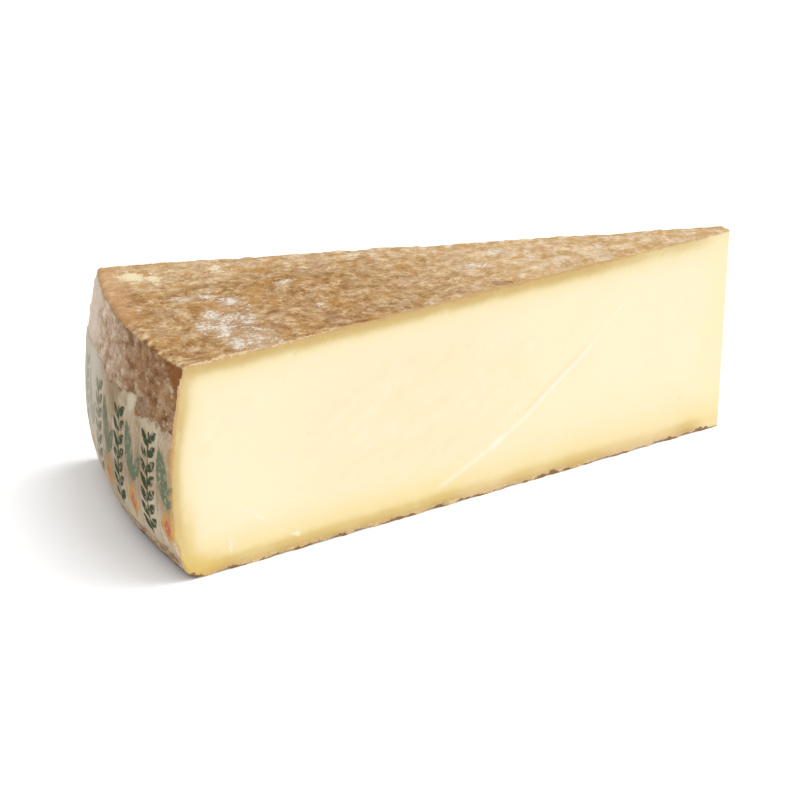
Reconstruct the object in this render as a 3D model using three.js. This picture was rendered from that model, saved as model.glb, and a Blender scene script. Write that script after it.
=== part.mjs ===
// A wedge of hard mountain cheese: a radial cut from a wheel, standing on the wheel's flat face.
// Millimetres, +Z up. The blunt nose points to +X and the rounded heel to -X, with the two cut
// faces mirrored about Y = 0. A thin printed band is glued round the lower part of the heel.
import * as THREE from "three";

// Wheel
const WHEEL_DIAMETER = 652;
const HEEL_HEIGHT = 95.8;
const NOSE_HEIGHT = 102; // the wheel is a little thicker towards its middle
const HEEL_WIDEST_LEVEL = 32; // height at which the convex heel reaches the full diameter
const HEEL_DRAW_IN = 8.2; // radius lost from the widest level to the top and bottom edges
const TOP_EDGE_ROUND = 2.5;
const BOTTOM_EDGE_ROUND = 6;

// Cut
const WEDGE_ANGLE = THREE.MathUtils.degToRad(25.9);
const NOSE_WIDTH = 8; // the tip is cut off square

// Heel band
const BAND_BOTTOM = 12;
const BAND_WIDTH = 54;
const BAND_THICKNESS = 0.5;
const BAND_GAP = 0.3; // glue line between rind and band

// Rind relief: bumps of each size, with the height they reach
const RIND_BUMPS = [
  { size: 46, height: 0.5 },
  { size: 19, height: 0.4 },
  { size: 10, height: 0.35 },
];
const BAND_ROUGHNESS = 0.2; // share of the relief that is left under the band
const ROUGHNESS_FADE = 6; // height over which the relief fades in beside the band

// Facets
const RIND_FACET = 4;
const FLAT_FACET = 30;

const halfAngle = WEDGE_ANGLE / 2;
const wheelRadius = WHEEL_DIAMETER / 2;
const noseRadius = NOSE_WIDTH / 2 / Math.tan(halfAngle); // from the wheel's axis to the nose face
const bandTop = BAND_BOTTOM + BAND_WIDTH;

// A fixed pseudo-random number from 0 to 1 for each whole-number lattice point.
function latticeValue(i, j, k) {
  let h = Math.imul(i, 0x27d4eb2d) ^ Math.imul(j, 0x165667b1) ^ Math.imul(k, 0x9e3779b1);
  h = Math.imul(h ^ (h >>> 15), 0x85ebca6b);
  h = Math.imul(h ^ (h >>> 13), 0xc2b2ae35);
  return ((h ^ (h >>> 16)) >>> 0) / 2 ** 32;
}

// Smooth noise from -1 to 1: lattice values blended over each unit cube.
function noise(x, y, z) {
  const cell = [x, y, z].map(Math.floor);
  const [u, v, w] = [x, y, z].map((t, axis) => THREE.MathUtils.smoothstep(t - cell[axis], 0, 1));
  const [i, j, k] = cell;
  const along = (a, b) =>
    THREE.MathUtils.lerp(latticeValue(i, j + a, k + b), latticeValue(i + 1, j + a, k + b), u);
  const low = THREE.MathUtils.lerp(along(0, 0), along(1, 0), v);
  const high = THREE.MathUtils.lerp(along(0, 1), along(1, 1), v);
  return 2 * THREE.MathUtils.lerp(low, high, w) - 1;
}

// How far the rind stands proud of the wheel's true form at a point.
function rindRelief(p) {
  const bump = (sum, { size, height }) => sum + height * noise(p.x / size, p.y / size, p.z / size);
  return RIND_BUMPS.reduce(bump, 0);
}

// Share of the relief at a height: none on the flat base, little under the band, all elsewhere.
function roughnessAt(z) {
  const offBase = THREE.MathUtils.smoothstep(z, 0, BOTTOM_EDGE_ROUND);
  const aboveBandFoot = THREE.MathUtils.smoothstep(z, BAND_BOTTOM - ROUGHNESS_FADE, BAND_BOTTOM);
  const aboveBandTop = THREE.MathUtils.smoothstep(z, bandTop, bandTop + ROUGHNESS_FADE);
  return offBase * (1 - (1 - BAND_ROUGHNESS) * aboveBandFoot * (1 - aboveBandTop));
}

// Radius of the convex heel at a height: two parabolas that meet at the widest level.
function heelRadius(z) {
  const end = z > HEEL_WIDEST_LEVEL ? HEEL_HEIGHT : 0;
  const share = (z - HEEL_WIDEST_LEVEL) / (end - HEEL_WIDEST_LEVEL);
  return wheelRadius - HEEL_DRAW_IN * share ** 2;
}

// The heel's line in section, as radius and height, between two heights.
class HeelLine extends THREE.Curve {
  constructor(low, high) {
    super();
    this.low = low;
    this.high = high;
  }

  getPoint(t, target = new THREE.Vector2()) {
    const z = THREE.MathUtils.lerp(this.low, this.high, t);
    return target.set(heelRadius(z), z);
  }
}

// Points along one curve of the section, each with its outward normal, at about the facet's size.
function sectionPoints(curve, facet) {
  const steps = Math.max(1, Math.round(curve.getLength() / facet));
  return Array.from({ length: steps + 1 }, (_, step) => {
    const place = curve.getPointAt(step / steps);
    const along = curve.getTangentAt(step / steps);
    return { place, outward: new THREE.Vector2(along.y, -along.x), facet };
  });
}

// The wedge's section from the nose's foot along the base, up the heel and back over the top.
function wedgeSection() {
  const heel = new HeelLine(BOTTOM_EDGE_ROUND, HEEL_HEIGHT - TOP_EDGE_ROUND);
  const bottomCorner = new THREE.Vector2(heelRadius(0), 0);
  const topCorner = new THREE.Vector2(heelRadius(HEEL_HEIGHT), HEEL_HEIGHT);
  const baseEnd = bottomCorner.clone().setX(bottomCorner.x - BOTTOM_EDGE_ROUND);
  const topEnd = topCorner.clone().setX(topCorner.x - TOP_EDGE_ROUND);
  const base = new THREE.LineCurve(new THREE.Vector2(noseRadius, 0), baseEnd);
  const footRound = new THREE.QuadraticBezierCurve(baseEnd, bottomCorner, heel.getPoint(0));
  const shoulderRound = new THREE.QuadraticBezierCurve(heel.getPoint(1), topCorner, topEnd);
  const top = new THREE.LineCurve(topEnd, new THREE.Vector2(noseRadius, NOSE_HEIGHT));
  return [
    ...sectionPoints(base, FLAT_FACET),
    ...sectionPoints(footRound, RIND_FACET).slice(1),
    ...sectionPoints(heel, RIND_FACET).slice(1),
    ...sectionPoints(shoulderRound, TOP_EDGE_ROUND / 2).slice(1),
    ...sectionPoints(top, RIND_FACET).slice(1),
  ];
}

// The band's section: up its outer face and down its glued face, both parallel to the heel.
function bandSection() {
  const heel = sectionPoints(new HeelLine(BAND_BOTTOM, bandTop), RIND_FACET);
  const proudBy = (distance) => (point) => ({ ...point, proud: distance });
  const outer = heel.map(proudBy(BAND_GAP + BAND_THICKNESS));
  const inner = heel.map(proudBy(BAND_GAP)).reverse();
  return [...outer, ...inner];
}

// Carries one section point round the wheel from cut to cut. Rays are stretched near the nose so
// that its face is flat and square to the wedge's centre line.
function rowAcross({ place, outward, facet, proud = 0 }) {
  const [radius, height] = [place.x, place.y];
  const steps = Math.max(1, Math.round((WEDGE_ANGLE * radius) / facet));
  const nearNose = (wheelRadius - radius) / (wheelRadius - noseRadius);
  return Array.from({ length: steps + 1 }, (_, step) => {
    const turn = -halfAngle + (WEDGE_ANGLE * step) / steps;
    const reach = radius + noseRadius * (1 / Math.cos(turn) - 1) * nearNose;
    const point = new THREE.Vector3(-reach * Math.cos(turn), reach * Math.sin(turn), height);
    const [cos, sin] = [Math.cos(turn), Math.sin(turn)];
    const normal = new THREE.Vector3(-outward.x * cos, outward.x * sin, outward.y);
    return point.addScaledVector(normal, roughnessAt(height) * rindRelief(point) + proud);
  });
}

// Triangles between two neighbouring rows that may differ in length: whichever row's next edge
// has the nearer middle moves on first.
function joinRows(first, second) {
  const triangles = [];
  const [firstEdges, secondEdges] = [first.length - 1, second.length - 1];
  let [i, j] = [0, 0];
  while (i < firstEdges || j < secondEdges) {
    const firstMoves = (i + 0.5) / firstEdges <= (j + 0.5) / secondEdges;
    triangles.push(first[i], second[j], firstMoves ? first[i + 1] : second[j + 1]);
    if (firstMoves) i += 1;
    else j += 1;
  }
  return triangles;
}

// A closed solid swept from cut to cut: a ring of rows joined all round, and a flat cut at each end.
function sweptSolid(section) {
  const points = [];
  const rows = section.map((sectionPoint) =>
    rowAcross(sectionPoint).map((point) => points.push(point) - 1),
  );
  const skin = rows.flatMap((row, index) => joinRows(row, rows[(index + 1) % rows.length]));
  const outline = (row) => {
    const point = points[row];
    return new THREE.Vector2(Math.hypot(point.x, point.y), point.z);
  };
  const near = rows.map((row) => row[0]);
  const far = rows.map((row) => row[row.length - 1]);
  const cut = (ends) => THREE.ShapeUtils.triangulateShape(ends.map(outline), []);
  const nearCut = cut(near).flatMap(([a, b, c]) => [near[a], near[c], near[b]]);
  const farCut = cut(far).flatMap(([a, b, c]) => [far[a], far[b], far[c]]);
  const geometry = new THREE.BufferGeometry().setFromPoints(points);
  geometry.setIndex([...skin, ...nearCut, ...farCut]);
  geometry.computeVertexNormals();
  return geometry;
}

function piece(name, section, finish) {
  const mesh = new THREE.Mesh(sweptSolid(section), new THREE.MeshStandardMaterial(finish));
  mesh.name = name;
  return mesh;
}

const wedge = new THREE.Group();
wedge.add(
  piece("cheese_wedge", wedgeSection(), { color: 0xf2dca0, roughness: 0.6, metalness: 0 }),
  piece("heel_band", bandSection(), { color: 0xb9ab95, roughness: 0.8, metalness: 0 }),
);

// The origin is on the base, half-way along the wedge's centre line.
wedge.position.x = -new THREE.Box3().setFromObject(wedge).getCenter(new THREE.Vector3()).x;

export default wedge;
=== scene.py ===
"""A wedge of hard pressed cheese on a white ground: rough rind, smooth cut paste, printed paper band."""

import bpy
import numpy as np
from mathutils import Matrix, Vector


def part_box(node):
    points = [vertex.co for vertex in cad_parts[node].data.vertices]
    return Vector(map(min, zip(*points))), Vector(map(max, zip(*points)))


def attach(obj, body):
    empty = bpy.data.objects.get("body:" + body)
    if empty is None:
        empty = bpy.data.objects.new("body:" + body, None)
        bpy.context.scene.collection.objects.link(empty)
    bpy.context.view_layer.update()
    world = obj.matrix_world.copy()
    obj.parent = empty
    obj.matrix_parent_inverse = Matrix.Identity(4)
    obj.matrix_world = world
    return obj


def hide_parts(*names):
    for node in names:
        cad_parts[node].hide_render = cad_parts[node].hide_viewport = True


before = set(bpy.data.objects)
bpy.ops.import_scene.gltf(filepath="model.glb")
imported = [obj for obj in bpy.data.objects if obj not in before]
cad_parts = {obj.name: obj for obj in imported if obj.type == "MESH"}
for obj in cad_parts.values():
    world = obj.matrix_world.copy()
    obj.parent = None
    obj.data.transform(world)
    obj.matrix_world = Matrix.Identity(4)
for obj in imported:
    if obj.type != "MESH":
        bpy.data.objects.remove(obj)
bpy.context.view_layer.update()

# The wheel, the cut and the rind's relief, in millimetres, as in the solids
HALF_ANGLE = np.radians(12.95)
WHEEL_RADIUS = 326.0
HEEL_HEIGHT = 95.8
NOSE_HEIGHT = 102.0
WIDEST_LEVEL = 32.0
HEEL_DRAW_IN = 8.2
TOP_ROUND = 2.5
BOTTOM_ROUND = 6.0
HALF_NOSE = 4.0
BAND_BOTTOM = 12.0
BAND_TOP = 66.0
RIND_BUMPS = ((46, 0.5), (19, 0.4), (10, 0.35))
BAND_ROUGHNESS = 0.2
ROUGHNESS_FADE = 6.0
SHOULDER_RADIUS = WHEEL_RADIUS - HEEL_DRAW_IN
NOSE_RADIUS = HALF_NOSE / np.tan(HALF_ANGLE)
CUT_LENGTH = WHEEL_RADIUS - NOSE_RADIUS / np.cos(HALF_ANGLE)
NOSE_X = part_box("cheese_wedge")[1].x * 1000
AXIS_X = NOSE_X + NOSE_RADIUS

# Mesh fineness: steps along and up the section, spacing across it in mm, samples from which the heel's
# line and slope are worked out, the angle from which an edge is sharp, and the sides in mm of the sheets
# on which the charts are laid
LENGTH_STEPS = 276
HEIGHT_STEPS = 90
RIND_SPACING = 1.1
BASE_SPACING = 5.0
BAND_STEPS_ACROSS = 360
BAND_STEPS_UP = 136
ROUND_SAMPLES, BULGE_SAMPLES, SLOPE_SAMPLES = 60, 400, 961
SHARP_ANGLE = np.radians(55)
WEDGE_SHEET = 500.0
BAND_SHEET = 150.0

# View: angles in degrees, and place in mm from the foot of the nose on the near cut
CAMERA_HEADING, CAMERA_PITCH, CAMERA_ROLL = 21.93, 21.57, -0.02
CAMERA_PLACE = (-492.74, -799.15, 379.7)
SENSOR_WIDTH, LENS = 36, 90

# Light: direction towards each lamp, its strength, and its spread in degrees. The ground's reach and its
# drop below the base are in metres.
LAMPS = {"key": ((0.529, -0.037, 0.848), 2.3, 50), "fill": ((-0.212, -0.791, 0.574), 1.6, 80)}
SKY_STRENGTH = 0.55
GROUND_REACH, GROUND_DROP = 6.0, 1e-4


def ease(x, low, high):
    """0 below low, 1 above high and a smooth S between them."""
    t = np.clip((x - low) / (high - low), 0, 1)
    return t * t * (3 - 2 * t)


def lattice(i, j, k):
    """A fixed pseudo-random number from 0 to 1 for each whole-number lattice point, by mixing bits."""
    i, j, k = (n.astype(np.int64).astype(np.uint32) for n in (i, j, k))
    h = i * np.uint32(0x27D4EB2D) ^ j * np.uint32(0x165667B1) ^ k * np.uint32(0x9E3779B1)
    h = (h ^ (h >> np.uint32(15))) * np.uint32(0x85EBCA6B)
    h = (h ^ (h >> np.uint32(13))) * np.uint32(0xC2B2AE35)
    return (h ^ (h >> np.uint32(16))) / 2.0**32


def noise(points, size):
    """Smooth noise from -1 to 1: lattice values, size apart, blended over each cube by S-curves."""
    scaled = points / size
    cell = np.floor(scaled)
    u, v, w = ease(scaled - cell, 0, 1).T
    i, j, k = cell.T
    mix = lambda a, b, t: a + (b - a) * t
    edge = lambda b, c: mix(lattice(i, j + b, k + c), lattice(i + 1, j + b, k + c), u)
    return 2 * mix(mix(edge(0, 0), edge(1, 0), v), mix(edge(0, 1), edge(1, 1), v), w) - 1


def heel_radius(z):
    """The heel bulges: radius falls with the square of the share of the way to its top or foot."""
    end = np.where(z > WIDEST_LEVEL, HEEL_HEIGHT, 0.0)
    return WHEEL_RADIUS - HEEL_DRAW_IN * ((z - WIDEST_LEVEL) / (end - WIDEST_LEVEL)) ** 2


def top_height(radius):
    """The top rises in a straight line from heel to nose."""
    share = (SHOULDER_RADIUS - TOP_ROUND - radius) / (SHOULDER_RADIUS - TOP_ROUND - NOSE_RADIUS)
    return HEEL_HEIGHT + (NOSE_HEIGHT - HEEL_HEIGHT) * share


def roughness_at(z):
    """Share of the rind's relief at a height: none on the base, little under the band."""
    above_foot = ease(z, BAND_BOTTOM - ROUGHNESS_FADE, BAND_BOTTOM)
    above_top = ease(z, BAND_TOP, BAND_TOP + ROUGHNESS_FADE)
    return ease(z, 0, BOTTOM_ROUND) * (1 - (1 - BAND_ROUGHNESS) * (above_foot * (1 - above_top)))


def rind_bumps(points):
    """The broad bumps that the solid has: three sizes of noise added up."""
    return sum(height * noise(points, size) for size, height in RIND_BUMPS)


def crust(points):
    """The fine crust, in mm: flat-topped flakes with steep edges, crumbs, and pits between them. Each
    noise is shifted to a part of its lattice of its own."""
    flakes = 0.28 * ease(noise(points + 300, 7.5), 0.0, 0.25)
    flakes += 0.24 * ease(noise(points + 700, 4.2), 0.1, 0.35)
    crumbs = 0.18 * noise(points + 900, 2.9) + 0.1 * noise(points + 1300, 1.7)
    pits = 0.35 * ease(noise(points + 1700, 3.4), 0.42, 0.75)
    return flakes + crumbs - pits - 0.15


def band_lines(arc):
    """Heights of the band's wavering lower and upper edges. The upper one is torn: its steps and slopes
    are a bent line over the arc."""
    place = np.stack([arc, 0 * arc, 0 * arc], -1).reshape(-1, 3)
    waver = lambda shift, size: noise(place + shift, size).reshape(arc.shape)
    torn = np.interp(arc, (-75, -60, -50, -41, -37.6, -36.4, -26, -13, 2, 4, 14, 30, 48, 75),
                     (1, 2.5, 1.2, -0.8, -0.3, 6.6, 5.2, 2.6, 0.5, 2.4, 4.6, 4.8, 3, 1))
    low = BAND_BOTTOM + 0.5 * waver(50, 11) + 0.3 * waver(70, 4)
    return low, BAND_TOP + torn + 0.6 * waver(90, 7) + 0.5 * waver(110, 3)


def heel_profile(steps):
    """Foot rounding, bulge and shoulder rounding as one line in section, cut into equal steps."""
    t = np.linspace(0, 1, ROUND_SAMPLES)[:, None]
    arc = lambda a, b, c: (1 - t) ** 2 * a + 2 * t * (1 - t) * b + t**2 * c
    z = np.linspace(BOTTOM_ROUND, HEEL_HEIGHT - TOP_ROUND, BULGE_SAMPLES)
    bulge = np.stack([heel_radius(z), z], 1)
    edge = SHOULDER_RADIUS
    foot = arc(np.array([edge - BOTTOM_ROUND, 0]), np.array([edge, 0]), bulge[0])
    shoulder = arc(bulge[-1], np.array([edge, HEEL_HEIGHT]), np.array([edge - TOP_ROUND, HEEL_HEIGHT]))
    line = np.concatenate([foot[:-1], bulge, shoulder[1:]])
    run = np.concatenate([[0], np.cumsum(np.linalg.norm(np.diff(line, axis=0), axis=1))])
    even = np.linspace(0, run[-1], steps + 1)
    return np.stack([np.interp(even, run, line[:, 0]), np.interp(even, run, line[:, 1])], 1)


def wedge_ring():
    """The section as a closed ring of (radius, height), from the nose's foot along the base, up the
    heel, over the top and down the nose, with each point's outward direction and spacing across."""
    share = np.linspace(0, 1, LENGTH_STEPS + 1)[:-1]
    drop = np.linspace(0, 1, HEIGHT_STEPS + 1)[:-1]
    base_end, top_end = SHOULDER_RADIUS - BOTTOM_ROUND, SHOULDER_RADIUS - TOP_ROUND
    base = np.stack([NOSE_RADIUS + (base_end - NOSE_RADIUS) * share, 0 * share], 1)
    heel = heel_profile(HEIGHT_STEPS)[:-1]
    top_radius = top_end + (NOSE_RADIUS - top_end) * share
    top = np.stack([top_radius, top_height(top_radius)], 1)
    nose = np.stack([NOSE_RADIUS + 0 * drop, NOSE_HEIGHT * (1 - drop)], 1)
    along = np.gradient(np.concatenate([heel, top[:1]]), axis=0)[:-1]
    along /= np.linalg.norm(along, axis=1)[:, None]
    outward = np.concatenate([
        np.tile([0.0, -1.0], (len(base), 1)),
        np.stack([along[:, 1], -along[:, 0]], 1),
        np.tile([0.0, 1.0], (len(top), 1)),
        np.tile([-1.0, 0.0], (len(nose), 1)),
    ])
    # The nose's upper edge belongs to the top, so it points up
    outward[2 * LENGTH_STEPS + HEIGHT_STEPS] = (0, 1)
    spacing = np.repeat([BASE_SPACING, RIND_SPACING, RIND_SPACING, RIND_SPACING],
                        [len(base), len(heel), len(top), len(nose)])
    return np.concatenate([base, heel, top, nose]), outward, spacing


def carried_across(ring, outward, counts):
    """Each ring point carried round the wheel from cut to cut in its own number of steps. Rays are
    stretched near the nose, so that the nose is flat. Gives points, outward directions, row numbers, the
    rows' first points and each point's turn round the wheel."""
    starts = np.concatenate([[0], np.cumsum(counts + 1)[:-1]])
    row = np.repeat(np.arange(len(ring)), counts + 1)
    turn = HALF_ANGLE * (2 * (np.arange(len(row)) - starts[row]) / counts[row] - 1)
    radius, z = ring[row].T
    near_nose = (WHEEL_RADIUS - radius) / (WHEEL_RADIUS - NOSE_RADIUS)
    reach = radius + NOSE_RADIUS * (1 / np.cos(turn) - 1) * near_nose
    points = np.stack([-reach * np.cos(turn), reach * np.sin(turn), z], 1)
    out_r, out_z = outward[row].T
    normals = np.stack([-out_r * np.cos(turn), out_r * np.sin(turn), out_z], 1)
    return points, normals, row, starts, turn


def joined_rows(starts, counts):
    """Triangles between each row and the next round the ring. Rows may differ in length: the row
    whose next edge has the nearer middle moves on first, counted in whole numbers for all at once.
    Gives the triangles and the row that each starts from."""
    n = len(counts)
    following = (np.arange(n) + 1) % n
    a_row = np.repeat(np.arange(n), counts)
    i = np.arange(len(a_row)) - np.repeat(np.cumsum(counts) - counts, counts)
    mine, other = counts[a_row], counts[following[a_row]]
    j = -((mine - (2 * i + 1) * other) // (2 * mine))
    a, b = starts[a_row] + i, starts[following[a_row]] + j
    first = np.stack([a, b, a + 1], 1)
    b_counts = counts[following]
    b_row = np.repeat(np.arange(n), b_counts)
    j = np.arange(len(b_row)) - np.repeat(np.cumsum(b_counts) - b_counts, b_counts)
    mine, other = counts[b_row], counts[following[b_row]]
    i = ((2 * j + 1) * mine - other) // (2 * other) + 1
    a, b = starts[b_row] + i, starts[following[b_row]] + j
    second = np.stack([a, b, b + 1], 1)
    return np.concatenate([first, second]), np.concatenate([a_row, b_row])


def cut_grid(ends, points, first_new):
    """A cut face as a grid between its four border lines: each inner point is the blend of the
    lines across from it less the blend of the corners. Gives the grid of numbers and new points."""
    base = ends[: LENGTH_STEPS + 1]
    heel = ends[LENGTH_STEPS : LENGTH_STEPS + HEIGHT_STEPS + 1]
    top = ends[LENGTH_STEPS + HEIGHT_STEPS : 2 * LENGTH_STEPS + HEIGHT_STEPS + 1][::-1]
    nose = np.append(ends[2 * LENGTH_STEPS + HEIGHT_STEPS :], ends[0])[::-1]
    grid = np.zeros((LENGTH_STEPS + 1, HEIGHT_STEPS + 1), int)
    grid[:, 0], grid[:, -1], grid[0], grid[-1] = base, top, nose, heel
    inner = grid[1:-1, 1:-1]
    inner[:] = first_new + np.arange(inner.size).reshape(inner.shape)
    u = np.linspace(0, 1, LENGTH_STEPS + 1)[1:-1, None, None]
    v = np.linspace(0, 1, HEIGHT_STEPS + 1)[None, 1:-1, None]
    b, t = points[base][1:-1, None], points[top][1:-1, None]
    n, h = points[nose][None, 1:-1], points[heel][None, 1:-1]
    corner = lambda index: points[index][None, None]
    fill = (1 - v) * b + v * t + (1 - u) * n + u * h
    fill -= (1 - u) * ((1 - v) * corner(base[0]) + v * corner(top[0]))
    fill -= u * ((1 - v) * corner(base[-1]) + v * corner(top[-1]))
    return grid, fill.reshape(-1, 3)


def grid_triangles(grid, flipped):
    """Two triangles for each cell of a grid of vertex numbers."""
    a, b, c, d = (q.ravel() for q in (grid[:-1, :-1], grid[1:, :-1], grid[1:, 1:], grid[:-1, 1:]))
    triangles = np.concatenate([np.stack([a, b, c], 1), np.stack([a, c, d], 1)])
    return triangles[:, ::-1] if flipped else triangles


def near_line(s, z, points):
    """Distance from each (s, z) to a bent line, and how far along it the nearest point is, 0 to 1."""
    line = np.array(points, float)
    best, share = np.full(s.shape, 1e9), np.zeros(s.shape)
    for n, (p, q) in enumerate(zip(line[:-1], line[1:])):
        t = np.clip(((s - p[0]) * (q[0] - p[0]) + (z - p[1]) * (q[1] - p[1])) / ((q - p) @ (q - p)), 0, 1)
        gap = np.hypot(s - p[0] - t * (q[0] - p[0]), z - p[1] - t * (q[1] - p[1]))
        share = np.where(gap < best, (n + t) / (len(line) - 1), share)
        best = np.minimum(best, gap)
    return best, share


# Marks on the near cut, as distance along it from the heel and height, in mm
KNIFE_RIDGE = (
    (131.3, 8.4), (139.5, 11.3), (150.3, 15.9), (161.8, 21), (169.6, 24.8), (185.1, 32.9), (190.4, 36.9),
    (199.6, 43.9), (208.9, 50.3), (216.3, 55), (223.6, 60.8), (228.9, 66), (238.9, 74.7), (247.8, 81.5))
# Scratches: strength, then the points of the line
SCRATCHES = (
    (0.9, ((31, 28.5), (39.8, 22.5), (46.6, 16.9))),
    (0.35, ((46.6, 16.9), (53.4, 11.3), (59.5, 8.2))),
    (0.9, ((27.3, 15.6), (27.4, 6.2))),
    (0.3, ((29.6, 68), (28.6, 41), (27.3, 15.6))),
    (0.8, ((60.2, 9.5), (61.5, 6.3))),
    (0.8, ((57.5, 8.2), (62, 7.6))),
    (0.45, ((43, 47), (55.8, 44.9), (61, 41.7))),
    (0.35, ((30, 66), (37.9, 72.7))),
    (0.3, ((78.6, 45.4), (114.3, 67.1))),
    (0.3, ((131.7, 25.8), (176.5, 49.6))))
# Pin holes: place, height and size
SPECKS = (
    (111, 64.4, 0.9), (181, 35.7, 0.8), (130, 36.5, 0.7), (281, 21.1, 0.9), (61.3, 90.3, 0.9),
    (67.5, 52.7, 0.7), (62, 28.9, 0.7), (278, 65.7, 0.6))
# Lean of the streaks that the blade drew
DRAG_ANGLE = np.radians(31)


def cut_marks(s, z):
    """Relief of a knife cut, in mm, and two paint masks: pale is painted highlight and dark is painted
    shade.
    The marks are a lip along the knife's stop line, drag streaks beside it, fine scratches with a shaded
    side, and pin-hole specks, which are painted as shade."""
    gap, share = near_line(s, z, KNIFE_RIDGE)
    shade, _ = near_line(s + 1.5, z - 1.5, KNIFE_RIDGE)
    strength = np.interp(share, (0, 0.08, 0.35, 0.55, 0.75, 0.85, 0.95, 1),
                         (0, 0.7, 0.75, 1, 0.7, 0.35, 0.5, 0))
    relief = 0.35 * strength * np.exp(-((gap / 1.1) ** 2))
    # Painted highlight along the lip's crest, painted shade beside it on its shaded side
    pale = strength * np.exp(-((gap / 1.3) ** 2))
    dark = 0.6 * strength * ease(share, 0.3, 0.5) * np.exp(-((shade / 1.4) ** 2))
    along = s * np.cos(DRAG_ANGLE) + z * np.sin(DRAG_ANGLE)
    across = z * np.cos(DRAG_ANGLE) - s * np.sin(DRAG_ANGLE)
    drag = noise(np.stack([along / 13, across / 2.8, 0 * s], 1), 1.0)
    drag += 0.5 * noise(np.stack([s, z, 0 * s], 1), 3.1)
    drag *= 0.15 + 0.85 * ease(s, 40, 85) * (1 - ease(s, 165, 215))
    drag *= ease(z, 12, 24) * (1 - ease(z, 72, 88))
    relief += 0.04 * drag
    # Painted highlight on the streaks' raised parts, painted shade in their hollows
    pale += 0.35 * ease(drag, 0.2, 0.9)
    dark += 0.28 * ease(-drag, 0.2, 0.9)
    for strength, scratch in SCRATCHES:
        gap, share = near_line(s, z, scratch)
        shade, _ = near_line(s + 0.9, z - 1.1, scratch)
        fade = strength * np.sin(np.pi * np.clip(share, 0.12, 0.88))
        line = np.exp(-((gap / 0.8) ** 2)) * fade
        relief += 0.2 * line
        # Painted highlight along each scratch, painted shade along its shaded side
        pale += line
        dark += 0.5 * np.exp(-((shade / 0.9) ** 2)) * fade
    for at, height, size in SPECKS:
        spot = np.exp(-(((s - at) ** 2 + (z - height) ** 2) / size**2))
        relief -= 0.25 * spot
        # Painted shade in the pin holes
        dark = np.maximum(dark, spot)
    return relief, pale, dark


def rind_gaps(radius, z):
    """Distances in mm to the top, the base and the heel inside the section."""
    return np.clip(np.stack([top_height(radius) - z, z, heel_radius(z) - radius]), 0, 200)


def ripeness_depth(radius, z):
    """Depth that sets the paste's colour: the distances to the rind, drawn out above the base, held
    back along the heel and, near the nose, under the top, then their softened least."""
    top, base, heel = rind_gaps(radius, z)
    s = WHEEL_RADIUS - radius
    held = np.interp(s, (200, 240, 270, 300), (0, 3.4, 4.5, 5.2))
    base = base * (1 + 0.4 * (1 - ease(s, 40, 90)) * ease(base, 6, 14))
    heel = heel * (1 + 0.3 * np.exp(-(((z - 52) / 14) ** 2)) - 0.08 * np.exp(-(((z - 24) / 10) ** 2)))
    depths = np.stack([
        (top**3 + held**3) ** (1 / 3),
        np.interp(base, (0, 3.5, 5, 7, 9, 11, 14, 18, 24, 40),
                  (0.8, 1.9, 2.6, 5.0, 6.6, 7.5, 8.5, 9.6, 11.5, 18)),
        np.interp(heel, (0, 2.5, 3.5, 4.5, 5.5, 7, 9, 14, 30),
                  (3.2, 3.7, 4.0, 4.7, 5.6, 6.8, 8.8, 13, 20)),
    ])
    softness = 1.8
    return -softness * np.log(np.exp(-np.clip(depths, 0, 200) / softness).sum(0))


def chips(points, gap):
    """Depth in mm of crumbs broken from the cut's edges: noise in two sizes, dying away from the edge."""
    lost = 0.55 * ease(noise(points + 2100, 5.2), 0.0, 0.5)
    lost += 0.35 * ease(noise(points + 2500, 2.4), 0.0, 0.5)
    return lost * np.exp(-gap / 1.1)


# Powdery mould on the top: middle x, y, half-length, half-width in mm, turn in degrees, strength
MOULD_PATCHES = (
    (-114, 10.4, 7.5, 4.2, -32, 0.5), (-103, 9.1, 8, 3.8, -28, 0.5), (-100, 16.8, 4.2, 2, 74, 0.5),
    (-96, -1.4, 7, 5.4, 90, 0.62), (-109, -15.8, 9, 5.4, 77, 0.6), (-115, -27.9, 8, 5.6, 81, 0.57),
    (-109, -35.1, 13, 5, 73, 0.62), (-96, -25.7, 10, 6, 75, 0.5), (-109, -53.4, 10, 5.6, 75, 0.6),
    (-100, -52, 20, 14, 90, 0.42), (-104, -24, 20, 14, 75, 0.4), (-66, 11.7, 6.8, 2.8, 22, 0.6),
    (-61, -22.3, 3.6, 2.4, 73, 0.6), (-136, 4, 6, 1.8, 75, 0.4), (-127, -37.5, 6, 3, 76, 0.36),
    (22, -1.2, 9.5, 4.4, -26, 0.42), (40, 11.7, 10, 4.6, -26, 0.38), (85, -1, 5, 2.4, 62, 0.5),
    (81, -16, 6, 4.5, -20, 0.4), (113, 3.3, 5, 4, -18, 0.3), (51, 0, 9, 5.6, 65, 0.3),
    (59, -14, 12, 4.6, 64, 0.35))
# Cream flakes where the outer crust has come away, and dark bruises, in the same terms
CREAM_FLAKES = (
    (-126.7, 48.6, 8.8, 6.2, -51, 1.0), (-118, 42.9, 7.4, 4.8, 83, 1.0), (-88, 44.3, 11, 7.5, 80, 0.62),
    (-51, 32, 4, 3.2, -43, 0.55), (-23, 35.2, 8, 3.1, -26, 0.55), (1.4, 33.8, 4, 2.3, -28, 0.5))
BRUISES = (
    (-28, -41.8, 2.8, 2.2, 74, 0.8), (0.8, -34.7, 3.8, 2, -25, 0.9), (8, -38, 2.4, 2, -28, 0.9),
    (23, -31.5, 4.8, 3.4, -25, 0.8), (-51, -50.8, 4.5, 3.7, -35, 0.8), (-61, -51.8, 5, 2.6, 71, 0.6),
    (-138.5, 10, 4, 2, 78, 0.7))
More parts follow.
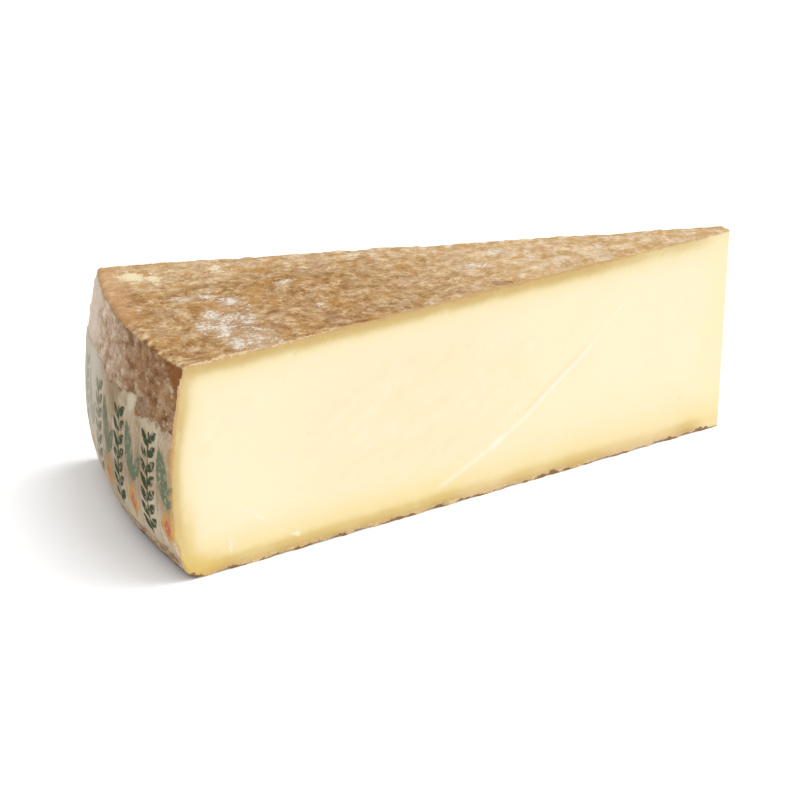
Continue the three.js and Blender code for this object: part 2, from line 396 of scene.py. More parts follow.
# Grey growth and dark scars on the heel: middle along the arc, height, half-length, half-height, turn
# and strength
HEEL_GROWTH = (
    (-15.2, 85.5, 6.6, 5, -10, 0.5), (-15.4, 75.8, 10.8, 4, -18, 0.5), (-63.4, 88.4, 3, 2.2, -15, 0.6),
    (-68, 82.7, 4, 2.5, 73, 0.5), (-60.2, 74.8, 4, 2, -19, 0.45), (-66.9, 69.7, 5, 3, -23, 0.7),
    (-31.5, 79, 8, 5, -18, 0.3))
HEEL_SCARS = (
    (-43.1, 76, 8.4, 7.4, -24, 0.45), (-50.6, 76, 8, 5, -20, 0.45), (-30.2, 92.3, 4.5, 2.8, -5, 0.7),
    (-22.1, 90.7, 3, 2.5, 7, 0.7), (-54.3, 92.4, 7, 2.2, -16, 0.35))


def patches(x, y, spots):
    """Soft ovals: for each, a bell of the scaled distance from its middle. The strongest wins."""
    best = np.zeros(x.shape)
    for at_x, at_y, half_length, half_width, degrees, strength in spots:
        c, s = np.cos(np.radians(degrees)), np.sin(np.radians(degrees))
        u, v = (x - at_x) * c + (y - at_y) * s, (y - at_y) * c - (x - at_x) * s
        best = np.maximum(best, strength * np.exp(-((u / half_length) ** 2 + (v / half_width) ** 2)))
    return best


def new_piece(name, points, triangles, looks, face_looks, attributes, charts):
    """A mesh object from whole arrays: points in mm, triangles, a look for each face, one number for
    each point under each attribute's name, and a chart of the faces' corners."""
    mesh = bpy.data.meshes.new(name)
    mesh.from_pydata(points * 0.001, [], triangles)
    for look in looks:
        mesh.materials.append(look)
    mesh.polygons.foreach_set("material_index", np.ascontiguousarray(face_looks, np.int32))
    for label, values in attributes.items():
        layer = mesh.attributes.new(label, "FLOAT", "POINT")
        layer.data.foreach_set("value", np.ascontiguousarray(values, np.float32))
    chart = mesh.uv_layers.new(name="OFBake")
    chart.uv.foreach_set("vector", np.ascontiguousarray(charts, np.float32).ravel())
    mesh.shade_smooth()
    mesh.set_sharp_from_angle(angle=SHARP_ANGLE)
    mesh.update()
    piece = bpy.data.objects.new(name, mesh)
    bpy.context.scene.collection.objects.link(piece)
    return piece


def rind_fields(points, turn, normal_z, fine):
    """What the rind's colours follow: place along and across, nearness to edges, grown patches, and where
    light and shade are painted on. Places and distances are in mm."""
    x, y, z = points.T
    radius = np.hypot(x - AXIS_X, y)
    on_top = ease(normal_z, 0.35, 0.75)
    arc = WHEEL_RADIUS * turn
    edge = radius * np.sin(HALF_ANGLE - np.abs(turn))
    to_nose = ease(x, -55, 65)
    shoulder = np.where(on_top > 0.5, 0.5 * (SHOULDER_RADIUS - radius), HEEL_HEIGHT - z)
    # Dark brown strip down the heel at the near top corner: the rind's own dark edge, and painted shade
    dark_corner_and_painted_shade = np.exp(-((edge / (3 + 9 * ease(z, 84, 94))) ** 2)) * (y < 0) * ease(z, 78, 86)
    return {
        "crust": fine,
        "on_heel": 1 - on_top,
        "edge_gap": edge,
        "shoulder": shoulder,
        "along": to_nose + 0.55 * ease(y, 8, 45) * (1 - to_nose),
        # Paler, greyer towards the far part of the heel: powdery mould, and painted grazing-angle sheen
        "far": (1 - on_top) * ease(arc, -55, 40),
        # Painted sheen: the heel's grazing far edge painted pale
        "painted_limb_sheen": (1 - on_top) * ease(arc, 20, 52),
        "mould": patches(x, y, MOULD_PATCHES) * on_top,
        "flake": patches(x, y, CREAM_FLAKES) * on_top,
        "bruise": patches(x, y, BRUISES) * on_top + patches(arc, z, HEEL_SCARS) * (1 - on_top),
        "growth": patches(arc, z, HEEL_GROWTH) * (1 - on_top),
        # Painted highlight: an orange-tan strip on the top along the far half of the shoulder, where the
        # rounded edge catches light
        "painted_shoulder_highlight": on_top * ease(y, -35, 15) * np.exp(-((shoulder / 5.5) ** 2)),
        "corner": dark_corner_and_painted_shade * (1 - on_top),
        "foot": (1 - on_top) * (1 - ease(z, 10, 15)),
        # Painted contact shade: darkest along the heel's foot, where it meets the ground, less on the far
        # part
        "painted_foot_shade": (1 - on_top) * (1 - ease(z, 3, 8)) * (1 - 0.6 * ease(arc, -40, 10)),
    }


def rind_rows():
    """The base, heel, top and nose as rows of points from cut to cut: the smooth form, the broad bumps,
    and the fine crust, which lies flatter under the band."""
    ring, outward, spacing = wedge_ring()
    counts = np.maximum(2, np.round(2 * HALF_ANGLE * ring[:, 0] / spacing)).astype(int)
    smooth, normals, row, starts, turn = carried_across(ring, outward, counts)
    on_nose = row > 2 * LENGTH_STEPS + HEIGHT_STEPS
    on_base = row <= LENGTH_STEPS
    rough = np.where(on_nose | on_base, 0, roughness_at(smooth[:, 2]))
    low, high = band_lines(WHEEL_RADIUS * turn)
    covered = ease(smooth[:, 2], low - 3, low) * (1 - ease(smooth[:, 2], high, high + 2))
    fine = rough * (1 - 0.7 * covered) * crust(smooth)
    points = smooth + normals * (rough * rind_bumps(smooth) + fine)[:, None]
    return points, normals, starts, counts, turn, fine, on_nose


def cut_face(side, ends, points, first_new):
    """One cut, -1 for the near one and 1 for the far: its triangles, its inner points raised by the
    knife's relief, which dies out at the rim, and the painted highlight and painted shade of its marks.
    The far cut has the same marks in mirrored order."""
    grid, fill = cut_grid(ends, points, first_new)
    s, z = WHEEL_RADIUS - np.hypot(fill[:, 0], fill[:, 1]), fill[:, 2]
    relief, pale, dark = cut_marks(s if side < 0 else CUT_LENGTH - s, z)
    relief += 0.12 * noise(fill, 34) + 0.07 * noise(fill, 12)
    inset = ease(np.minimum.reduce([z, HEEL_HEIGHT - z, s - 6, CUT_LENGTH - s]), 0.5, 4)
    away = np.array([np.sin(HALF_ANGLE), side * np.cos(HALF_ANGLE), 0])
    return grid_triangles(grid, side < 0), fill + away * (relief * inset)[:, None], pale, dark


def paste_fields(radius, z, skin_gap):
    """What the paste's colours follow: depth under the rind, nearness to the base, and broad tints, some
    as bells round a place along the cut and a level. Places and distances are in mm."""
    s = WHEEL_RADIUS - radius
    depth = ripeness_depth(radius, z)
    bell = lambda at, half_length, level, half_height: np.exp(
        -(((s - at) / half_length) ** 2 + ((z - level) / half_height) ** 2))
    on_rim = [(s < 14) & (z < 86), z < 8]
    return {
        "ripeness": depth,
        "skin_gap": skin_gap,
        "base_gap": z - 1.8 * (1 - ease(s, 8, 18)),
        "crumbs": np.select(on_rim, [0.55, 0.95 + 0.25 * z], 0.25 + 0.7 * (1 - ease(s, 60, 100))),
        "warm": bell(120, 80, 52, 50) * ease(depth, 5, 11),
        "tip": ease(s, 284, 306),
        "low": ease(z, 2, 5) * (1 - ease(z, 6, 26)),
        "golden": bell(13, 10, 5, 7) + 0.6 * bell(8, 4, 22, 14),
    }


def wedge_charts(corners, chart_of):
    """Flat charts of the base, heel, top, nose and two cuts, laid side by side in mm on a square sheet."""
    x, y, z = corners[..., 0], corners[..., 1], corners[..., 2]
    length = NOSE_X - x
    arc = WHEEL_RADIUS * np.arctan2(y, AXIS_X - x)
    layout = ((5 + length, 80 + y), (325 + z, 90 + arc), (312 - length, 205 - y),
              (325 + z, 185 + y), (5 + length, 290 + z), (5 + length, 395 + z))
    chosen = [(chart_of == n)[:, None, None] for n in range(len(layout))]
    return np.select(chosen, [np.stack(chart, -1) for chart in layout]) / WEDGE_SHEET


def wedge_piece(rind, paste):
    """The wedge: rows of rind, base and nose closed by two cut faces, with crumbs lost along their edges."""
    points, normals, starts, counts, turn, fine, on_nose = rind_rows()
    rind_count = len(points)
    triangles, face_row = joined_rows(starts, counts)
    heel_end, top_end = LENGTH_STEPS + HEIGHT_STEPS, 2 * LENGTH_STEPS + HEIGHT_STEPS
    chart_of = np.select([face_row < LENGTH_STEPS, face_row < heel_end, face_row < top_end], [0, 1, 2], 3)
    inner_count = (LENGTH_STEPS - 1) * (HEIGHT_STEPS - 1)
    near, near_points, near_highlight, near_shade = cut_face(-1, starts, points, rind_count)
    far, far_points, far_highlight, far_shade = cut_face(1, starts + counts, points, rind_count + inner_count)
    points = np.concatenate([points, near_points, far_points])
    triangles = np.concatenate([triangles, near, far])
    chart_of = np.concatenate([chart_of, np.full(len(near), 4), np.full(len(far), 5)])
    pad = lambda values, fill=0.0: np.concatenate([values, np.full(2 * inner_count, fill)])
    radius, z = np.hypot(points[:, 0], points[:, 1]), points[:, 2]
    skin_gap = rind_gaps(radius, z).min(0)
    edge_gap = radius * np.sin(HALF_ANGLE - np.abs(pad(turn, HALF_ANGLE)))
    lost = chips(points, edge_gap + pad(0 * turn, 1) * skin_gap) * (pad(on_nose) == 0)
    points[:, 1] -= np.sign(points[:, 1]) * lost * (radius > NOSE_RADIUS + 4)
    points[:, 2] += 0.8 * lost * (z < 0.5)
    shifted = points + (AXIS_X, 0, 0)
    attributes = rind_fields(shifted[:rind_count], turn, normals[:, 2], fine)
    attributes = {label: pad(values) for label, values in attributes.items()}
    attributes.update(paste_fields(radius, z, skin_gap))
    # Painted highlight and painted shade of the knife marks on both cuts
    attributes["painted_highlight"] = np.concatenate([0 * turn, near_highlight, far_highlight])
    attributes["painted_shade"] = np.concatenate([0 * turn, near_shade, far_shade])
    charts = wedge_charts(shifted[triangles], chart_of)
    face_looks = np.where(chart_of >= 3, 1, 0)
    return new_piece("wedge", shifted, triangles, (rind, paste), face_looks, attributes, charts)


# Printed band, in mm: distance along the arc, and height from the band's lower edge. A leaf's size is
# its length and width, a lozenge's its half-width and half-height.
PRINT_PERIOD = 34.0
FIRST_SPRIG = -53.0
SPRIG_LEAF = (9.5, 4.4)
SPRIG_LEVELS = np.arange(5, 44, 6.4)
LONG_LEAF, SHORT_LEAF = (25, 10), (17, 7)
LOZENGE_LEVEL, LOZENGE = 13, (6.4, 8.6)
PRINT_FOOT, PRINT_HEAD = 4, 50
STEM_HALF_WIDTH = 0.8
RULE_HALF_WIDTH, RULE_OFFSET = 0.35, 9.5
# The paper: how far its edges stand off the rind, its rise within them, its wrinkles and its glued depth
EDGE_LIFT, MIDDLE_RISE, WRINKLE, GLUED_DEPTH = 0.15, 0.45, 0.1, 0.25
# Bleached spots: middle along the arc, height, half-length, half-height, turn in degrees, strength
BLEACHED_SPOTS = ((-32, 69, 5, 6, 0, 1), (-20, 70, 9, 3, -10, 0.6))


def sprig_print(arc, height):
    """Ink on the band: upright sprigs of paired leaves, and between them a lozenge under two broad
    leaves, with fine rules. Gives dark green, soft green, ochre and russet cover from 0 to 1."""
    soft = lambda inside: np.clip(0.5 + inside / 0.6, 0, 1)
    dark, green, ochre, russet = (np.zeros(arc.shape) for _ in range(4))

    def leaf(at, level, length, width, degrees):
        """A pointed oval from its foot along its lean: half-width follows a sine of the share along."""
        c, s = np.cos(np.radians(degrees)), np.sin(np.radians(degrees))
        u, v = (arc - at) * c + (height - level) * s, (height - level) * c - (arc - at) * s
        return soft(width / 2 * np.sin(np.pi * np.clip(u / length, 0, 1)) ** 0.8 - np.abs(v) - 0.15)

    for n in range(-2, 5):
        at, middle = FIRST_SPRIG + n * PRINT_PERIOD, FIRST_SPRIG + (n + 0.5) * PRINT_PERIOD
        inside = np.minimum(height - PRINT_FOOT, PRINT_HEAD - height)
        dark = np.maximum(dark, soft(np.minimum(STEM_HALF_WIDTH - np.abs(arc - at), inside)))
        for level in SPRIG_LEVELS:
            dark = np.maximum(dark, leaf(at, level, *SPRIG_LEAF, 42))
            dark = np.maximum(dark, leaf(at, level + 2, *SPRIG_LEAF, 138))
        green = np.maximum(green, leaf(middle + 0.5, 23, *LONG_LEAF, 76))
        green = np.maximum(green, leaf(middle - 0.5, 22, *SHORT_LEAF, 122))
        span = np.abs(arc - middle) / LOZENGE[0] + np.abs(height - LOZENGE_LEVEL) / LOZENGE[1]
        ochre = np.maximum(ochre, soft(4.5 * (1 - span)))
        russet = np.maximum(russet, soft(4.5 * (0.52 - span)))
        for rule in (at - RULE_OFFSET, at + RULE_OFFSET):
            line = soft(np.minimum(RULE_HALF_WIDTH - np.abs(arc - rule), inside))
            green = np.maximum(green, 0.7 * line)
    return dark, green, ochre, russet


def band_sheet():
    """The band's outer and glued faces as two grids parallel to the heel. Its edges waver and are turned
    down, and fine wrinkles lift the outer face. Gives the turn, the share of the way up, the height and
    the distance to the nearer long edge at each grid point, and the two faces."""
    across = np.linspace(-HALF_ANGLE, HALF_ANGLE, BAND_STEPS_ACROSS + 1)
    turn, share = np.meshgrid(across, np.linspace(0, 1, BAND_STEPS_UP + 1), indexing="ij")
    low, high = band_lines(WHEEL_RADIUS * turn)
    z = low + (high - low) * share
    radius = heel_radius(z)
    base = np.stack([-radius * np.cos(turn), radius * np.sin(turn), z], -1)
    levels = np.linspace(0, HEEL_HEIGHT, SLOPE_SAMPLES)
    out_z = -np.interp(z, levels, np.gradient(heel_radius(levels), levels))
    normal = np.stack([-np.cos(turn), np.sin(turn), out_z], -1)
    normal /= np.linalg.norm(normal, axis=-1)[..., None]
    relief = roughness_at(z) * rind_bumps(base.reshape(-1, 3)).reshape(z.shape)
    edge = np.minimum(z - low, high - z)
    wrinkles = WRINKLE * noise(base.reshape(-1, 3), 5).reshape(z.shape)
    lift = EDGE_LIFT + MIDDLE_RISE * ease(edge, 0, 1.2) + wrinkles * ease(edge, 0, 3)
    outer = base + normal * (relief + lift)[..., None]
    inner = base + normal * (relief - GLUED_DEPTH)[..., None]
    return turn, share, z, edge, outer, inner


def strip_triangles(face):
    """A closed strip from a grid of vertex numbers: the face, a back whose numbers follow on, and the
    narrow rim along each of the four sides."""
    rim = lambda line: np.stack([line, line + face.size], 1)
    return np.concatenate([
        grid_triangles(face, True), grid_triangles(face + face.size, False),
        grid_triangles(rim(face[:, 0]), False), grid_triangles(rim(face[:, -1]), True),
        grid_triangles(rim(face[0]), True), grid_triangles(rim(face[-1]), False)])


def band_piece(paper):
    """The band: a thin closed strip of paper with its print, and its two faces charted one above the
    other."""
    turn, share, z, edge, outer, inner = band_sheet()
    triangles = strip_triangles(np.arange(z.size).reshape(z.shape))
    points = np.concatenate([outer.reshape(-1, 3), inner.reshape(-1, 3)]) + (AXIS_X, 0, 0)
    arc = WHEEL_RADIUS * turn
    dark, green, ochre, russet = sprig_print(arc, z - BAND_BOTTOM)
    twice = lambda values: np.tile(values.ravel(), 2)
    attributes = {
        "dark_ink": twice(dark),
        "green_ink": twice(green),
        "ochre_ink": twice(ochre),
        "russet_ink": twice(russet),
        "border": twice(edge),
        # Far part of the band: painted grazing-angle sheen
        "far": twice(ease(arc, -18, 40)),
        "cut_gap": twice(WHEEL_RADIUS * (HALF_ANGLE - np.abs(turn))),
        "height": twice(share),
        "bleached": twice(patches(arc, z, BLEACHED_SPOTS)),
    }
    side = np.repeat([0, 1], z.size)
    chart = np.stack([twice(arc) + 75, twice(z - BAND_BOTTOM) + 4 + 70 * side], 1) / BAND_SHEET
    one_look = np.zeros(len(triangles))
    return new_piece("band", points, triangles, (paper,), one_look, attributes, chart[triangles])


# What the three surfaces share: the depth of their fine bump in metres, and an IOR between fat and paper
BUMP_DEPTH = 0.0006
SURFACE_IOR = 1.45


def srgb(text):
    """A hex colour as the eye sees it, turned to linear light, with full cover."""
    value = np.array([int(text[n : n + 2], 16) for n in (1, 3, 5)]) / 255
    return (*np.where(value <= 0.04045, value / 12.92, ((value + 0.055) / 1.055) ** 2.4), 1.0)


def add(tree, kind, sockets=None, stops=None, **settings):
    """Adds a node: settings are its properties, sockets its inputs (values, or outputs to link), stops
    the places and colours of its ramp."""
    node = tree.nodes.new(kind)
    for name, value in settings.items():
        setattr(node, name, value)
    if stops:
        ramp = node.color_ramp.elements
        ramp.remove(ramp[1])
        ramp[0].position, ramp[0].color = stops[0][0], srgb(stops[0][1])
    for place, colour in (stops or ())[1:]:
        ramp.new(place).color = srgb(colour)
    for key, value in (sockets or {}).items():
        if isinstance(value, bpy.types.NodeSocket):
            tree.links.new(value, node.inputs[key])
        else:
            node.inputs[key].default_value = value
    return node


def new_material(name):
    """A material with an empty node tree."""
    material = bpy.data.materials.new(name)
    material.use_nodes = True
    material.node_tree.nodes.clear()
    return material, material.node_tree


def surface_values(tree, *labels):
    """The piece's own numbers, read by name."""
    return {label: add(tree, "ShaderNodeAttribute", attribute_name=label).outputs["Fac"] for label in labels}


def patterns(tree, sizes, scale=(1, 1, 1)):
    """Noise on Object coordinates, one for each feature size in mm, with its detail and offset. A scale
    below 1 draws the features out along that axis."""
    place = add(tree, "ShaderNodeTexCoord").outputs["Object"]
    made = []
    for size, detail, shift in sizes:
        moved = add(tree, "ShaderNodeMapping", {
            "Vector": place, "Location": (shift, 0, 0), "Scale": scale}).outputs[0]
        made.append(add(tree, "ShaderNodeTexNoise", {
            "Vector": moved, "Scale": 1000 / size, "Detail": detail, "Roughness": 0.6}).outputs["Fac"])
    return made


def shades(tree, value, *tints):
    """A ramp of five colours, from the darkest bits of a surface to its palest, middle at 0.5."""
    return add(tree, "ShaderNodeValToRGB", {"Fac": value},
               stops=tuple(zip((0.1, 0.34, 0.5, 0.66, 0.9), tints))).outputs["Color"]


def blend(tree, start, *terms):
    """Adds to a start value each pattern times its weight."""
    for value, weight in terms:
        inputs = {0: value, 1: weight, 2: start}
        start = add(tree, "ShaderNodeMath", inputs, operation="MULTIPLY_ADD").outputs[0]
    return start


def layered(tree, colour, layers):
    """Lays colours over each other: each rises from none where its value is low to its cover at high.
    A tint is a hex colour or another output."""
    for value, low, high, cover, tint in layers:
        share = add(tree, "ShaderNodeMapRange", {
            "Value": value, "From Min": low, "From Max": high, "To Max": cover},
            interpolation_type="SMOOTHSTEP").outputs["Result"]
        tint = srgb(tint) if isinstance(tint, str) else tint
        colour = add(tree, "ShaderNodeMix", {0: share, 6: colour, 7: tint}, data_type="RGBA").outputs[2]
    return colour


def finished(material, tree, colour, roughness, bump_height, bump, glaze):
    """Closes a material: one dielectric surface with its colour, roughness range and fine bump."""
    pattern, low, high = roughness
    rough = add(tree, "ShaderNodeMapRange", {
        "Value": pattern, "To Min": low, "To Max": high}).outputs["Result"]
    normal = add(tree, "ShaderNodeBump", {
        "Strength": bump, "Distance": BUMP_DEPTH, "Height": bump_height}).outputs[0]
    shader = add(tree, "ShaderNodeBsdfPrincipled", {
        "Base Color": colour, "Roughness": rough, "IOR": SURFACE_IOR, "Specular IOR Level": glaze,
        "Normal": normal})
    add(tree, "ShaderNodeOutputMaterial", {"Surface": shader.outputs[0]})
    return material


def brushed_rind():
    """Natural rind of a pressed cheese, washed and rubbed with salt while it ripens: dry and mottled in
    tan and brown, darker in pits and paler on flake tops, partly as painted shade and highlight, paler on
    crumbs, with powdery white mould. Painted light also lies on it: shade on the heel side, its near top
    corner and its foot, a highlight along the shoulder and sheen at the heel's far edge. It scatters
    light all ways."""
    material, tree = new_material("brushed_natural_rind")
    read = surface_values(
        tree, "crust", "on_heel", "edge_gap", "shoulder", "along", "far", "painted_limb_sheen", "mould", "flake", "bruise",
        "growth", "painted_shoulder_highlight", "corner", "foot", "painted_foot_shade", "crumbs")
    broad, patchy, mottle, fleck, grit, flour = patterns(
        tree, ((45, 3, 0), (13, 3, 3.1), (6.5, 2, 5.7), (2.6, 2, 9.3), (1.1, 1, 1.9), (1.5, 2, 2.7)))
    (dust,) = patterns(tree, ((4.2, 2, 7.7),), (0.6, 1, 1))
    blotch, speck = patterns(tree, ((7, 2, 4.4), (2.8, 2, 6.1)), (1, 0.5, 1))
    # Weighted by the crust's relief: pits darker, flake tops paler, partly the rind's own colour and partly
    # painted shade and highlight of that relief
    shade = blend(tree, -1.25, (mottle, 1.5), (fleck, 1.3), (grit, 0.7), (read["crust"], 0.3))
    heel_shade = blend(tree, -1.2, (blotch, 1.4), (speck, 1.4), (grit, 0.6), (read["crust"], 0.3))
    top = shades(tree, shade, "#7d572c", "#906c41", "#9b794f", "#a8875f", "#bca27e")
    nose = shades(tree, shade, "#a58255", "#b29266", "#b99d78", "#c1a988", "#ceb99a")
    # The heel's ramps are darker than the top's: partly the rind's own browner colour, partly painted shade
    # of the heel side, which is turned from the key
    heel = shades(tree, heel_shade, "#613a1a", "#7a5533", "#876546", "#967758", "#ae9578")
    grey = shades(tree, heel_shade, "#98795e", "#a98e73", "#b9a089", "#c3ad99", "#d3c5b4")
    foot = shades(tree, heel_shade, "#714d28", "#937a5d", "#a49075", "#b3a086", "#c5b59b")
    heel = layered(tree, heel, (
        (blotch, 0.52, 0.64, 0.45, "#8a602c"),
        (patchy, 0.47, 0.36, 0.4, "#a49079"),
        # Far part of the heel: mould grey, and painted sheen
        (read["far"], 0, 1, 1.0, grey),
        # Painted sheen, pale at the heel's grazing far edge
        (read["painted_limb_sheen"], 0, 1, 0.75, "#d6c5b3"),
        (read["foot"], 0, 1, 1.0, foot),
    ))
    crumbly = blend(tree, read["crumbs"], (read["edge_gap"], -0.42), (dust, 2.0), (flour, 2.0))
    lip = blend(tree, 0.2, (read["shoulder"], -0.17), (read["painted_shoulder_highlight"], -0.45), (dust, 1.5), (flour, 1.0),
                (mottle, 1.2))
    # Fewer dark cracks towards the heel's far part, within its painted sheen, and within the shoulder's
    # painted highlight
    crack = blend(tree, 0.0, (read["shoulder"], 0.16), (fleck, 1.6), (mottle, 1.6), (read["painted_shoulder_highlight"], 0.5),
                  (read["far"], 0.5))
    powder = blend(tree, 0.0, (read["mould"], 1.35), (dust, 1.4), (flour, 2.3))
    moss = blend(tree, read["growth"], (speck, 1.8), (flour, 1.0))
    spots = blend(tree, 0.0, (patchy, 1.0), (mottle, 0.6), (read["on_heel"], 0.04), (read["bruise"], 0.6))
    colour = layered(tree, top, (
        (blend(tree, read["along"], (broad, 0.6)), 0.2, 1.3, 1.0, nose),
        (patchy, 0.53, 0.66, 0.42, "#a77b3b"),
        (patchy, 0.46, 0.34, 0.32, "#ac9078"),
        # Painted highlight along the shoulder
        (read["painted_shoulder_highlight"], 0.1, 0.9, 0.55, "#b58c63"),
        (read["on_heel"], 0, 1, 1.0, heel),
        (spots, 0.98, 1.14, 0.5, "#6c451e"),
        # Near top corner of the heel: dark rind and painted shade
        (read["corner"], 0.1, 0.6, 0.85, "#7a4818"),
        # Painted contact shade along the heel's foot
        (read["painted_foot_shade"], 0.2, 0.8, 0.85, "#5a3a16"),
        (moss, 1.75, 2.1, 0.7, "#b6a692"),
        (blend(tree, read["flake"], (dust, 1.6), (flour, 1.4)), 1.88, 2.25, 0.9, "#d0c3a2"),
        (crack, 1.58, 1.34, 0.7, "#654322"),
        (lip, 1.97, 2.3, 0.8, "#cbb38b"),
        (crumbly, 2.4, 2.8, 0.8, "#cbb493"),
        (read["mould"], 0.08, 0.6, 0.58, "#b1a08d"),
        (powder, 2.36, 2.72, 0.88, "#cdc5b9"),
    ))
    return finished(material, tree, colour, (mottle, 0.72, 0.95), blend(tree, fleck, (grit, 0.6)), 0.5, 0.25)


def pressed_paste():
    """Ripened paste of a pressed, cooked-curd cheese, cut with a wide knife: smooth and slightly waxy,
    pale cream inside, ochre for a few millimetres under the rind, with faint marbling. Its knife marks
    carry painted highlight and painted shade."""
    material, tree = new_material("pressed_cheese_paste")
    read = surface_values(
        tree, "ripeness", "skin_gap", "crumbs", "warm", "tip", "low", "golden", "painted_highlight", "painted_shade",
        "base_gap")
    cloud, marble, grain, ragged, bits, dashes = patterns(
        tree, ((70, 2, 0), (18, 3, 2.3), (1.8, 2, 4.1), (3.2, 3, 6.6), (1.6, 2, 8.1), (9, 1, 5.2)))
    wavering = blend(tree, read["ripeness"], (marble, 2.4), (ragged, 1.2))
    depth = add(tree, "ShaderNodeMapRange", {"Value": wavering, "From Min": 1.8, "From Max": 21.8})
    colour = add(tree, "ShaderNodeValToRGB", {"Fac": depth.outputs["Result"]}, stops=(
        (0.05, "#b39762"), (0.125, "#b69b64"), (0.175, "#bba26a"), (0.225, "#c2ac7a"), (0.275, "#caba8c"),
        (0.35, "#d5c59c"), (0.45, "#dacaa4"), (0.6, "#dccdab"), (0.9, "#ddd0b0"))).outputs["Color"]
    skin = blend(tree, read["skin_gap"], (ragged, -3.0))
    crumbly = blend(tree, read["crumbs"], (read["skin_gap"], -0.5), (ragged, 2.0), (bits, 1.8))
    dirt = blend(tree, read["base_gap"], (dashes, -9.0), (bits, -4.0))
    colour = layered(tree, colour, (
        (read["warm"], 0, 1, 0.85, "#dac9a8"),
        (read["tip"], 0, 1, 0.7, "#dccea5"),
        (read["low"], 0, 1, 0.3, "#cfba72"),
        (read["golden"], 0, 1, 0.7, "#c4a552"),
        (cloud, 0.5, 0.7, 0.3, "#dccaaa"),
        (marble, 0.52, 0.72, 0.2, "#d8c69e"),
        (grain, 0.55, 0.75, 0.1, "#d2c295"),
        # Knife marks: painted highlight, then painted shade
        (read["painted_highlight"], 0, 1, 0.8, "#ddd6c5"),
        (read["painted_shade"], 0, 1, 0.45, "#c3b280"),
        (skin, 0.0, -1.2, 0.8, "#ac8858"),
        (crumbly, 2.45, 2.8, 0.8, "#c9b28e"),
        (dirt, -5.45, -6.2, 0.85, "#6a4820"),
    ))
    return finished(material, tree, colour, (marble, 0.42, 0.6), grain, 0.1, 0.3)


def glued_paper():
    """Thin printed paper stuck to the wet wheel and aged with it: fawn-grey, its inks faded and rubbed,
    stained from the rind and grown over along its edges. Quite matte. Towards its far end it is painted
    paler, with fainter ink, as painted grazing-angle sheen."""
    material, tree = new_material("aged_glued_paper")
    read = surface_values(
        tree, "dark_ink", "green_ink", "ochre_ink", "russet_ink", "border", "far", "cut_gap", "height",
        "bleached")
    # Real fibres are far finer than 1 mm and are drawn that coarse so that they show
    stain, blotch, rub, growth, fibre = patterns(
        tree, ((32, 3, 0), (9, 3, 2.2), (3.0, 4, 4.6), (5.0, 4, 8.8), (1.1, 2, 1.2)))
    colour = add(tree, "ShaderNodeValToRGB", {"Fac": stain}, stops=(
        (0.36, "#86704f"), (0.5, "#a08b70"), (0.64, "#b6a68d"))).outputs["Color"]
    worn = add(tree, "ShaderNodeMapRange", {
        "Value": rub, "From Min": 0.64, "From Max": 0.5, "To Min": 0.3, "To Max": 0.97},
        interpolation_type="SMOOTHSTEP").outputs["Result"]
    # Less overgrowth and fainter ink towards the far part, within its painted sheen
    overgrown = blend(tree, 0.0, (read["border"], -0.07), (growth, 1.0), (rub, 0.5), (read["far"], -0.3))
    worn = blend(tree, 0.0, (worn, blend(tree, 1.0, (read["far"], -0.6))))
    torn = blend(tree, -0.1, (read["cut_gap"], -0.1), (growth, 1.0), (read["height"], 0.3))
    colour = layered(tree, colour, (
        (blotch, 0.52, 0.68, 0.5, "#846b4c"),
        (blotch, 0.47, 0.34, 0.4, "#c0b6a2"),
        (fibre, 0.5, 0.7, 0.35, "#77644a"),
        # Painted sheen: paler paper towards the band's far part
        (read["far"], 0, 1, 0.75, "#c8c0b2"),
        (read["bleached"], 0.2, 0.9, 0.7, "#c6c0a8"),
        (read["height"], 0.45, 0.1, 0.45, "#c4b59d"),
        (read["green_ink"], 0, 1, worn, "#5a6751"),
        (read["dark_ink"], 0, 1, worn, "#233519"),
        (read["ochre_ink"], 0, 1, worn, "#b98643"),
        (read["russet_ink"], 0, 1, worn, "#a9634e"),
        (rub, 0.40, 0.28, 0.55, "#bcb09c"),
        (overgrown, 0.62, 0.8, 0.85, "#7b5732"),
        (torn, 0.48, 0.62, 0.85, "#a9834f"),
    ))
    return finished(material, tree, colour, (blotch, 0.75, 0.95), rub, 0.3, 0.25)


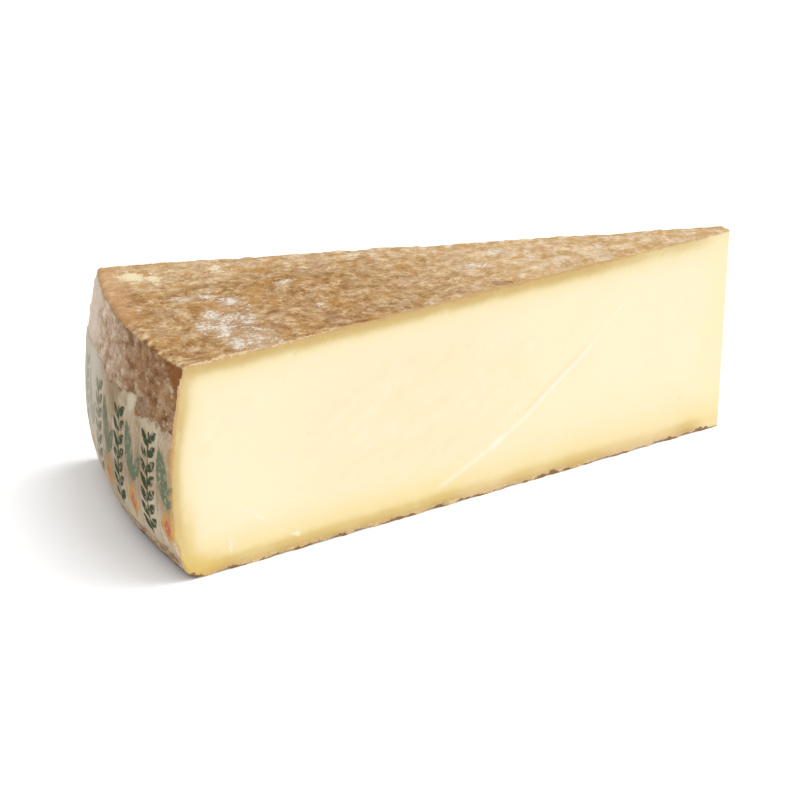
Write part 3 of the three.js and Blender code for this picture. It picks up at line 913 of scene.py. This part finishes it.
def photo_camera():
    """Looks down 21.6 degrees at the near cut and the heel through a 90 mm lens."""
    heading, pitch, roll = np.radians((CAMERA_HEADING, CAMERA_PITCH, CAMERA_ROLL))
    ahead = Vector((np.sin(heading) * np.cos(pitch), np.cos(heading) * np.cos(pitch), -np.sin(pitch)))
    right = Vector((np.cos(heading), -np.sin(heading), 0))
    up = right.cross(ahead)
    tilted_right = right * np.cos(roll) - up * np.sin(roll)
    tilted_up = right * np.sin(roll) + up * np.cos(roll)
    data = bpy.data.cameras.new("camera")
    data.sensor_width, data.lens = SENSOR_WIDTH, LENS
    data.clip_end = 50
    camera = bpy.data.objects.new("camera", data)
    place = Matrix((tilted_right, tilted_up, -ahead)).transposed().to_4x4()
    place.translation = (Vector((NOSE_X, -HALF_NOSE, 0)) + Vector(CAMERA_PLACE)) * 0.001
    camera.matrix_world = place
    bpy.context.scene.collection.objects.link(camera)
    bpy.context.scene.camera = camera


def studio():
    """White sky all round, a soft key from beyond the nose, a softer fill from the front, and a white
    ground a hair below the base."""
    world = bpy.data.worlds.new("white_room")
    world.use_nodes = True
    sky = world.node_tree.nodes["Background"]
    sky.inputs["Color"].default_value = (1, 1, 1, 1)
    sky.inputs["Strength"].default_value = SKY_STRENGTH
    bpy.context.scene.world = world
    for name, (towards, energy, spread) in LAMPS.items():
        light = bpy.data.lights.new(name, "SUN")
        light.energy, light.angle = energy, np.radians(spread)
        lamp = bpy.data.objects.new(name, light)
        lamp.rotation_euler = Vector(towards).to_track_quat("Z", "Y").to_euler()
        bpy.context.scene.collection.objects.link(lamp)
    mesh = bpy.data.meshes.new("ground")
    signs = ((-1, -1), (1, -1), (1, 1), (-1, 1))
    corners = [(x * GROUND_REACH, y * GROUND_REACH, -GROUND_DROP) for x, y in signs]
    mesh.from_pydata(corners, [], [(0, 1, 2, 3)])
    material, tree = new_material("white_paper_sweep")
    shader = add(tree, "ShaderNodeBsdfDiffuse", {"Color": srgb("#f7f7f7")})
    add(tree, "ShaderNodeOutputMaterial", {"Surface": shader.outputs[0]})
    mesh.materials.append(material)
    ground = bpy.data.objects.new("ground", mesh)
    bpy.context.scene.collection.objects.link(ground)
    bpy.context.scene.view_settings.view_transform = "Standard"


photo_camera()
studio()
wedge = wedge_piece(brushed_rind(), pressed_paste())
band = band_piece(glued_paper())
for piece, node, slot in ((wedge, "cheese_wedge", "cheese"), (band, "heel_band", "band_paper")):
    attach(piece, "root")
    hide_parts(node)
